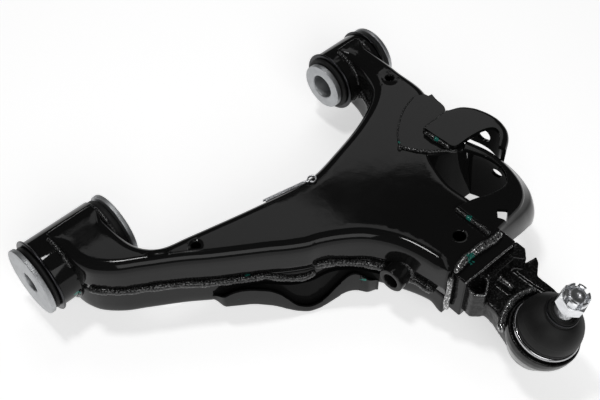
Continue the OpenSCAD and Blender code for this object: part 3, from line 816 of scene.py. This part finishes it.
def bent_sheet(name, stations, count, top, fold, thickness):
    """Sheet that runs flat from the inner to the outer edge, folds, and goes down to its lower edge."""
    outer, inner = (even_curve([s[k] for s in stations], count) for k in (0, 1))
    bottoms, lean, belly = (between([s[k] for s in stations], count) for k in (2, 3, 4))
    flat_steps, fold_steps, wall_steps = 4, 6, 10
    verts = []
    for i, (a, b) in enumerate(zip(inner, outer)):
        out = (b - a).normalized()
        start = b - out * fold
        column = [a.lerp(start, k / flat_steps) + Vector((0, 0, top)) for k in range(flat_steps)]
        for k in range(fold_steps + 1):
            turn = math.pi / 2 * k / fold_steps
            z = top - fold + fold * math.cos(turn)
            column.append(start + out * fold * math.sin(turn) + Vector((0, 0, z)))
        ahead = outer[min(count - 1, i + 1)] - outer[max(0, i - 1)]
        side = Vector((ahead.y, -ahead.x, 0)).normalized()
        side = side if side.dot(out) > 0 else -side
        for k in range(1, wall_steps + 1):
            t = k / wall_steps
            z = (top - fold) + (bottoms[i] - (top - fold)) * t
            swell = side * (belly[i] * BELLY_GAIN * math.sqrt(t) * (1 - t))
            column.append(b + swell + Vector((-lean[i] * t, 0, z)))
        verts += column
    piece = mesh_object(name, [v * MM for v in verts], grid_faces(count, len(column)))
    turn_flat_face(piece, 1)
    return bevelled(thickened(piece, thickness), 0.9)


def between(values, count):
    """Plain linear resampling of one value per station onto count stations."""
    out = []
    for k in range(count):
        t = k / (count - 1) * (len(values) - 1)
        i = min(int(t), len(values) - 2)
        out.append(values[i] + (values[i + 1] - values[i]) * (t - i))
    return out


def even_curve(points, count):
    """count points along the smooth curve through the stations, keeping the stations' own pace."""
    fine = [Vector((*p, 0)) for p in points]
    out = []
    for k in range(count):
        t = k / (count - 1) * (len(fine) - 1)
        i = min(int(t), len(fine) - 2)
        f = t - i
        p0, p1, p2 = fine[max(i - 1, 0)], fine[i], fine[i + 1]
        p3 = fine[min(i + 2, len(fine) - 1)]
        out.append(0.5 * (2 * p1 + (p2 - p0) * f + (2 * p0 - 5 * p1 + 4 * p2 - p3) * f * f
                          + (3 * p1 - p0 - 3 * p2 + p3) * f ** 3))
    return out


def make_horseshoe():
    piece = bent_sheet("horseshoe", RING_STATIONS, count=73, top=44, fold=9, thickness=4)
    at, axis, _ = mount_line(4)
    ahead = -axis
    bolt_hole_r, notch_r = 6.5, 7
    cut(piece, rod("bolt_tool", at + ahead * 60, ahead, bolt_hole_r, 180),
        rod("notch_tool", (-305, 264, 12), (0, 0, 1), notch_r, 60, 4))
    bevelled(piece, 0.5)
    # Painted shade: the wall below the top face keeps little shine, so that the pocket reads dark
    top_face = 35 * MM
    paint_in_shade(piece, [0.8 if v.co.z < top_face else 0.0 for v in piece.data.vertices])
    finish_piece(piece, "horseshoe_strap", "paint", 40)


def make_ear():
    piece = bent_sheet("rear_ear", EAR_STATIONS, count=81, top=48, fold=6, thickness=4)
    at, _, dims = mount_line(5)
    cut(piece, rod("ear_tool", at + Vector((-20, 0, 0)), (1, 0, 0), dims["r_mm"], 40))
    finish_piece(bevelled(piece, 0.5), "rear_ear_strap", "paint", 40)


def make_base_plate():
    outline = [
        (-338, 186), (-313, 166), (-296, 142), (-308, 127), (-320, 118), (-334, 109), (-356, 103),
        (-367, 108), (-368, 112), (-372.5, 113), (-370.5, 120), (-368.8, 133), (-364, 140), (-366, 158),
        (-347, 178)]
    smooth = resample([(*p, 0) for p in outline], 3, closed=True, corner=40)
    plate = prism("patch_plate", [p.xy for p in smooth], TOP_Z - 1, TOP_Z + 1.3)
    pad = prism("ear_pad", [(-331, 147), (-333, 178), (-366, 181), (-374, 176), (-374, 160), (-362, 147)],
                TOP_Z - 0.5, TOP_Z + 4.3)
    cut(plate, pad, mode="UNION")
    bevelled(plate, 0.5, angle=40)
    count, rows, wall_drop = 25, 13, 52
    upper = even_curve([(-309, 165), (-320, 173.5), (-333, 179), (-347, 181)], count)
    lower = even_curve([(-309, 165), (-325, 176), (-346, 181), (-369, 183)], count)
    verts = []
    for a, b in zip(upper, lower):
        for k in range(rows):
            t = k / (rows - 1)
            p = a.lerp(b, t)
            verts.append(Vector((p.x, p.y, TOP_Z + 0.6 - (TOP_Z + wall_drop) * t)) * MM)
    wall = mesh_object("pocket_wall", verts, grid_faces(count, rows))
    bevelled(thickened(wall, 3.6, 0), 0.8)
    cut(plate, wall, mode="UNION")
    finish_piece(plate, "shock_base_plate", "paint", 35)


# Skirt, as [distance along the front wall, height]: lower edge, lip, and its line on the wall
SKIRT_LOW = [
    (56, -25), (62, -33), (94, -34), (117, -43), (131, -53), (145, -60), (160, -59), (174, -47), (188, -36),
    (216, -41)]
SKIRT_LIP = [
    (56, -21), (66, -16), (76, -9), (90, -8), (110, -14), (123, -24), (131, -40), (142, -49), (153, -50),
    (164, -43), (171, -29), (182, -16), (188, -5), (201, -12), (216, -25)]
SKIRT_BACK = [
    (56, -30), (76, -17), (90, -12), (105, -10), (132, -17), (154, -15), (168, -8), (189, -8), (216, -14)]


def make_skirt():
    """Wavy stamped channel on the lower part of the front wall: a wall leg, a floor and a lip."""
    count, start, run = 113, 56, 160
    verts = []
    for i in range(count):
        t = start + run * i / (count - 1)
        low, lip, back = (height_at(table, t) for table in (SKIRT_LOW, SKIRT_LIP, SKIRT_BACK))
        squeeze = 0.3 + 0.7 * smoothstep(56, 68, t) * smoothstep(217, 205, t)
        lip = max(lip, low + 7)
        back = max(back, low + 7)
        column = [(0.8, back), (0.8, (low + back) / 2), (0.8, low + 4.5)]
        for a in (20, 45, 70, 90):
            column.append((4.4 - 3.6 * math.cos(math.radians(a)), low + 4 - 4 * math.sin(math.radians(a))))
        for a in (0, 25, 50, 75):
            column.append((6 + 4 * math.sin(math.radians(a)), low + 4 - 4 * math.cos(math.radians(a))))
        column += [(10, low + 4.5), (10, (low + lip) / 2 + 1), (9.6, lip)]
        verts += [on_wall(t, z, out * squeeze) * MM for out, z in column]
    rows = len(column)
    piece = mesh_object("skirt", verts, grid_faces(count, rows))
    # Painted shade: the channel's back and floor rows lose their shine, for the shade behind the skirt
    inner_rows = 9
    paint_in_shade(piece, [1.0 if i % rows < inner_rows else 0.0 for i in range(len(verts))])
    best = max(piece.data.polygons, key=lambda f: f.area * abs(f.normal.z + 1))
    if best.normal.z > 0:
        piece.data.flip_normals()
    bevelled(thickened(piece, 2.2), 0.7)
    finish_piece(piece, "front_skirt_bracket", "paint", 45)


def make_tip_bracket():
    low, high = (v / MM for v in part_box("tip_bracket"))
    wider, shallower, wall = 7, 16, 5
    low.x -= wider
    low.z += shallower
    outline = [(low.x, low.y), (high.x, low.y), (high.x, high.y), (low.x, high.y)]
    piece = prism("tip_box", outline, low.z, high.z)
    inner = [(low.x + wall, low.y - 1), (high.x - wall, low.y - 1), (high.x - wall, high.y - 4),
             (low.x + wall, high.y - 4)]
    cut(piece, prism("tip_hollow", inner, low.z + wall, high.z - wall))
    finish_piece(bevelled(piece, 1.6, 3, 40), "tip_bracket", "paint", 50)


def make_cross_tube():
    at, axis, dims = mount_line(4)
    bore, half = dims["r_mm"], dims["length_mm"] / 2
    place = placed(at, axis)
    tube_r, bead_inset = 13, 17.5
    profile = [(bore, -half), (tube_r, -half), (tube_r, half), (bore, half)]
    finish_piece(lathe("bolt_tube", profile, place, 72, 0.9), "shock_cross_tube", "paint")
    ring = [place @ (Vector((x, y, half - bead_inset)) * MM) / MM for x, y in circle(tube_r + 0.4, 25)]
    finish_piece(beads("bolt_tube_bead", [(ring + [ring[0]], 2.6)]), None, "weld")


# ---------------- ball joint

# Height of the ball's centre along the stud's axis
BALL_Z = -8.0


def joint_place():
    """Place whose Z axis is the stud's axis, and in which the ball's centre is at BALL_Z."""
    spin = next(j for j in frame["joints"] if j["name"] == "stud_spin")
    swing = next(j for j in frame["joints"] if j["name"] == "stud_swing_travel")
    ez, ex = Vector(spin["axis"]).normalized(), Vector(swing["axis"]).normalized()
    ey = ez.cross(ex)
    turn = Matrix((ex, ey, ez)).transposed().to_4x4()
    return Matrix.Translation(Vector(spin["pos_m"]) - ez * (BALL_Z * MM)) @ turn


def voxel_union(name, pieces, voxel, smooth, roughness, seed):
    """One cast-looking solid from several: remeshed, smoothed and slightly rough."""
    main = pieces[0]
    for other in pieces[1:]:
        cut(main, other, mode="UNION")
    modified(main, "REMESH", mode="VOXEL", voxel_size=voxel)
    modified(main, "SMOOTH", factor=0.6, iterations=smooth)
    shift = Vector((seed, seed * 2.1, seed * 0.7))
    for v in main.data.vertices:
        wave = noise.noise(v.co * 260 + shift) * 0.6 + noise.noise(v.co * 700 + shift) * 0.4
        v.co += v.normal * wave * roughness
    main.name = name
    return main


# Blocks that the neck is fused from, as (name, outline, lower height, upper height)
NECK_BLOCKS = [
    ("neck", [(-233, 288), (-240, 300), (-239, 317), (-231, 341), (-230, 372), (-280, 372), (-290, 350),
              (-292, 318), (-295, 288)], -13, 10),
    ("well", [(-253, 287), (-251, 298), (-237, 307), (-229, 299), (-231, 287)], -13, 24),
    ("step", [(-294, 287), (-294, 298), (-252, 298), (-252, 287)], -14, 27),
    ("far_cheek", [(-284, 287), (-286, 300), (-292, 307), (-301, 298), (-301, 287)], -12, 28),
    ("far_flange", [(-284, 290), (-285, 320), (-289, 350), (-295, 345), (-296, 312), (-296, 290)], 2, 12),
    ("pad", [(-269.5, 297), (-269, 316), (-262, 316), (-261.5, 297)], 4, 16),
    ("lug", [(-286, 300), (-300.9, 303.4), (-312, 305.6), (-308, 311.5), (-286, 327)], -2, 12)]
WELL_HOLE = [(-249.5, 290), (-248, 296.5), (-237.5, 303), (-232.5, 298), (-234, 290)]
CUP_HOLE = [
    (0.01, -60), (24, -60), (24, -26), (26.6, -19), (30, -12), (33, -5), (33.9, 1), (33.9, 60), (0.01, 60)]
CUP = [
    (21.6, -25.9), (24.2, -25.6), (27, -19), (30.4, -12), (33.4, -5), (34.4, 1), (34.4, 6.6), (33.4, 7.8),
    (31.9, 7.6), (31.4, 6.05), (27.1, 6.05), (27.1, -8), (21.6, -14)]
CUP_RUN = [
    (-226, 338, 11), (-228.5, 333, 12.5), (-242.5, 326, 12.5), (-256.5, 323, 12.5), (-270.5, 324, 12.5),
    (-282, 329, 12.5)]
NECK_RUNS = [
    ([(-251.5, 288, 24), (-250, 297.5, 24)], 1.0),
    ([(-250, 297.5, 24), (-237.5, 305.5, 24)], 0.9),
    ([(-237, 306, 23), (-230, 298.5, 23)], 0.9), ([(-231.5, 289, 24), (-229.5, 297, 24)], 0.8),
    ([(-265.5, 298, 16), (-265.5, 315, 16)], 2.6)]


def make_forging():
    """Neck, ribs and cup of the ball joint."""
    place = joint_place()
    blocks = [prism(*block) for block in NECK_BLOCKS]
    cut(blocks[1], prism("well_tool", WELL_HOLE, 6, 40))
    neck = voxel_union("forged_neck", blocks, voxel=0.0013, smooth=5, roughness=0.00035, seed=3)
    cut(neck, lathe("cup_hole", CUP_HOLE, place, 96, 0))
    finish_piece(neck, "joint_neck", "cast")
    cup = lathe("forged_cup", CUP, place, 128, 1.0, 4)
    shift = Vector((5, 1, 2))
    for v in cup.data.vertices:
        v.co += v.normal * noise.noise(v.co * 420 + shift) * 0.00015
    finish_piece(cup, "joint_cup", "cast")
    finish_piece(beads("cup_bead", [(CUP_RUN, 3.3)]), "cup_weld", "bare_weld")
    finish_piece(beads("neck_edge_beads", NECK_RUNS), None, "bare_weld")


# Turned pieces as (name, node, look, body, sides, rounding, profile), profiles as (radius, along)
JOINT_TURNED = [
    ("housing", "joint_housing", "housing", ARM, 128, 0.8,
     [(17, -23), (21.5, -23), (21.5, -14), (27, -8), (27, 6.1), (31, 6.1), (31, 9.9), (21, 9.9), (15, 0),
      (17, -6)]),
    ("seat", "joint_seat", "plastic", ARM, 64, 0.4,
     [(5, -22.9), (16.9, -22.9), (16.9, -8), (14.9, -0.1), (11.6, -0.1), (14.1, -8), (11.6, -16),
      (5, -21.2)]),
    ("bottom_cap", "joint_bottom_cover", "housing", ARM, 96, 0.5,
     [(0.01, -26), (18, -26), (20, -25.2), (21.4, -24.8), (21.4, -23.1), (0.01, -23.1)]),
    ("lower_ring", "boot_lower_ring", "ring", ARM, 144, 0.5,
     [(29.7, 10.1), (31.4, 10.1), (31.9, 11.2), (31.7, 13.2), (30.6, 14.2), (29.7, 14)]),
    ("upper_ring", "boot_upper_ring", "dark_steel", "boot_lip", 96, 0.3,
     [(14.1, 45), (15.2, 45), (15.5, 46), (15.2, 47), (14.1, 47)]),
    ("lip_insert", "boot_lip_insert", "boot", "boot_lip", 96, 0.2,
     [(9.1, 44), (11.5, 44), (11.5, 47.7), (10.8, 48.2), (10.2, 47.6), (9.6, 48.2), (9.1, 47.7)])]


def make_turned(pieces, place):
    for name, node, look, body, sides, rounding, profile in pieces:
        finish_piece(lathe(name, profile, place, sides, rounding), node, look, body=body)


def make_joint():
    place = joint_place()
    make_turned(JOINT_TURNED, place)
    make_boot(place)
    make_stud(place)
    make_nut(place)


def make_boot(place):
    """The boot in two pieces that meet at one ring."""
    split = 27.0
    low_out = [
        (29.6, 10.4), (29.6, 14.6), (30.4, 15.4), (30.6, 17.4), (29.7, 17.9), (29.7, 18.5), (30.5, 19.0),
        (30.2, 21.5), (29.6, 24.4), (28.9, split)]
    low_in = [(27.0, split), (27.6, 22), (27.4, 17), (26.4, 13), (26.4, 10.4)]
    high_out = [
        (28.9, split), (27.4, 31), (25.2, 34.6), (22.2, 38), (19.0, 40.6), (16.6, 42.1), (15.8, 42.5),
        (15.0, 42.4), (14.6, 43), (15.3, 43.6), (15.4, 44.4), (14.2, 44.8), (13.9, 45.6), (13.9, 46.8),
        (14.3, 47.4), (13.8, 48.2), (13.0, 47.7), (12.3, 48.2), (11.7, 47.8)]
    high_in = [(11.7, 43.2), (15.5, 40.4), (19, 37.8), (22.4, 34.2), (25, 30.6), (27.0, split)]
    pieces = (("boot_base", low_out + low_in, (ARM, "boot_middle"), (11, split)),
              ("boot_dome", high_out + high_in, ("boot_middle", "boot_lip"), (split, 43.5)))
    for name, profile, bodies, (s0, s1) in pieces:
        piece = lathe(name, smooth_profile(profile), place, 144, 0)
        finish_piece(piece, "boot", "boot", body=None)
        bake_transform(piece)


def smooth_profile(profile):
    """Two rounds of corner cutting, which keep the first and last height rings in place."""
    points = [Vector(p) for p in profile]
    widest_rim = 3.5
    for _ in range(2):
        out = []
        for i, p in enumerate(points):
            q = points[(i + 1) % len(points)]
            if abs(p.y - q.y) < 1e-6 and abs(p.x - q.x) < widest_rim:
                out += [p, q] if not out or out[-1] != p else [q]
                continue
            out += [p.lerp(q, 0.25), p.lerp(q, 0.75)]
        points = out
    return points


def make_stud(place):
    """Ball, neck and shank, with a real helical thread from the boot to the end."""
    columns = 72
    pitch, depth = 1.5, 0.55
    ball_r = 14.0
    thread_low, thread_high, thread_r = 49.5, 76.2, 7.5
    profile = [(ball_r * math.sin(math.radians(a)), BALL_Z - ball_r * math.cos(math.radians(a)))
               for a in range(4, 152, 6)]
    profile += [(6.6, 5), (9, 12), (9, 47.8), (8.85, 48.6), (8.3, 49.2)]
    profile += [(8, 49.6 + 0.2 * k) for k in range(132)]
    profile += [(7.4, 76.6), (6.9, 76.95), (3.0, 77), (2.2, 76.3), (0.8, 75.9)]
    verts = []
    for r, z in profile:
        for k in range(columns):
            turn = 2 * math.pi * k / columns
            radius = r
            if thread_low < z < thread_high and r > thread_r:
                wave = (z / pitch - turn / (2 * math.pi)) % 1.0
                fade = smoothstep(thread_low, thread_low + pitch, z)
                fade *= smoothstep(thread_high, thread_high - 1.2, z)
                radius -= depth * fade * (1 - abs(2 * wave - 1)) ** 0.8
            verts.append(place @ (Vector((radius * math.cos(turn), radius * math.sin(turn), z)) * MM))
    piece = mesh_object("stud", verts, ring_faces(len(profile), columns))
    finish_piece(piece, "ball_stud", "zinc", body="stud")


def make_nut(place):
    """Castle nut: chamfered hexagon, slotted crown."""
    bottom, top, hex_top, flats, bore = 60.0, 79.0, 72.0, 12.0, 8.05
    corner = flats / math.cos(math.radians(30))
    half_slot = 2.2
    body = [
        (bore, bottom), (flats, bottom), (corner + 0.3, bottom + 1.6), (corner + 0.3, hex_top - 1.3),
        (flats + 0.2, hex_top), (11.6, hex_top + 0.2), (11.6, top - 1), (10.7, top), (9.1, top),
        (bore, top - 1)]
    nut = lathe("nut", body, place, 96, 0)
    hexagon = [(0.01, bottom - 5), (corner, bottom - 5), (corner, top + 5), (0.01, top + 5)]
    turned = place @ Matrix.Rotation(math.radians(15), 4, "Z")
    cut(nut, lathe("hex_tool", hexagon, turned, 6, 0), mode="INTERSECT")
    slot = [(-20, -half_slot), (20, -half_slot), (20, half_slot), (-20, half_slot)]
    for k in range(3):
        slot_tool = prism("slot_tool", slot, hex_top + 0.4, top + 3)
        slot_tool.data.transform(place @ Matrix.Rotation(math.radians(60 * k + 45), 4, "Z"))
        cut(nut, slot_tool)
    finish_piece(bevelled(nut, 0.4, angle=40), "castle_nut", "zinc", 30, "stud")


# ---------------- bushes

def ribbed(piece, beyond, count, depth):
    """Fine ribs along X on the rim of a disc on the pivot axis, outside a radius in mm."""
    for v in piece.data.vertices:
        r = math.hypot(v.co.y, v.co.z)
        if r > beyond * MM:
            wave = depth * MM * (math.cos(count * math.atan2(v.co.z, v.co.y)) - 1) / 2
            v.co.y += v.co.y / r * wave
            v.co.z += v.co.z / r * wave


FRONT_TURNED = [
    ("front_core", "front_inner_sleeve", "grey", "front_sleeve", 96, 0.4,
     [(10.35, -45), (15, -45), (15, 45), (10.35, 45)]),
    ("front_shell_ring", "front_outer_sleeve", "dark_steel", ARM, 144, 0.5,
     [(29.6, -36), (31.5, -36), (31.5, 36), (37.2, 36), (38, 36.8), (38, 38.1), (37.4, 38.5), (29.6, 38.5)]),
    ("front_rubber_body", "front_rubber", "rubber", ARM, 128, 1.0,
     [(15.1, -44.4), (26, -44.4), (31.5, -43.6), (33.4, -41.5), (33.4, -38), (32, -36.1), (29.5, -36),
      (29.5, 38.6), (32.2, 38.7), (33.4, 40), (33.2, 42), (31, 43.6), (26, 44.4), (15.1, 44.4)])]
REAR_TURNED = [
    ("rear_core", "rear_inner_sleeve", "grey", "rear_sleeve", 128, 0.6,
     [(13.05, -34), (20, -34), (20, 32.4), (24.4, 32.6), (25, 33.4), (25, 38.5), (14.2, 38.5),
      (13.05, 37.4)]),
    ("rear_stop_washer", "rear_washer", "grey", "rear_sleeve", 128, 0.7,
     [(13.1, -38.5), (31, -38.5), (31, -34), (13.1, -34)]),
    ("rear_shell_ring", "rear_outer_sleeve", "dark_steel", ARM, 144, 0.4,
     [(26.05, -27.5), (32.4, -27.5), (33, -26.8), (33, -25.2), (28, -25.1), (28, 25.1), (33, 25.2),
      (33, 26.8), (32.4, 27.5), (26.05, 27.5)]),
    ("rear_rubber_body", "rear_rubber", "rubber", ARM, 128, 0.8,
     [(20.1, -32), (26, -31.8), (28.6, -30.6), (29, -29), (28.4, -27.6), (26, -27.6), (26, 27.6),
      (28.4, 27.6), (29, 29), (28.6, 30.8), (26, 31.8), (20.1, 32)])]


def make_bushes():
    front = along_x(0)
    half, washer_t, washer_r = 45.0, 4.75, 35
    for end, side in (("fore", 1), ("aft", -1)):
        a, b = half * side, (half + washer_t) * side
        profile = [(10.4, a), (washer_r, a), (washer_r, b), (11.4, b), (10.4, b - 0.9 * side)]
        washer = lathe("washer_" + end, profile, front, 288, 0.7)
        ribbed(washer, washer_r - 0.4, 96, 0.3)
        finish_piece(washer, "front_washer_" + end, "grey", body="front_sleeve")
    make_turned(FRONT_TURNED, front)
    make_turned(REAR_TURNED, along_x(REAR_X))


def make_split_pin():
    """Two half-round legs that open into an eye, lying on the arm."""
    start = Vector((-153, 101, 41.6))
    place = Matrix.Translation(start * MM) @ Matrix.Rotation(math.radians(168), 4, "Z")
    leg, apart, leg_steps, sides = 45, 0.85, 24, 10
    half_width, half_height = 0.8, 1.45
    line = [Vector((leg * k / (leg_steps - 1), apart, 0)) for k in range(leg_steps)]
    for k in range(33):
        turn = math.radians(205 - 410 * k / 32)
        line.append(Vector((53.2 - 4.2 * math.cos(math.pi - turn), 3.9 * math.sin(turn), 0)))
    line += [Vector((leg - leg * k / (leg_steps - 1) * 0.96, -apart, 0)) for k in range(leg_steps)]
    line = resample_polyline(line, 0.8)
    verts = []
    for i, p in enumerate(line):
        ahead = (line[min(i + 1, len(line) - 1)] - line[max(i - 1, 0)]).normalized()
        side = ahead.cross(Vector((0, 0, 1)))
        for u, v in circle(1, sides):
            verts.append(place @ ((p + side * half_width * u + Vector((0, 0, half_height * v))) * MM))
    piece = mesh_object("split_pin_wire", verts, ring_faces(len(line), sides))
    finish_piece(piece, "split_pin", "zinc")


def resample_polyline(line, spacing):
    """Points along a line of straight pieces, about evenly spaced."""
    out = [line[0]]
    for p in line[1:]:
        while (p - out[-1]).length > spacing:
            out.append(out[-1] + (p - out[-1]).normalized() * spacing)
    return out


# ---------------- build

make_camera()
for make in (make_shells, make_tubes, make_welds, make_horseshoe, make_ear, make_base_plate, make_skirt,
             make_tip_bracket, make_cross_tube, make_forging, make_joint, make_bushes, make_split_pin,
             make_studio):
    make()
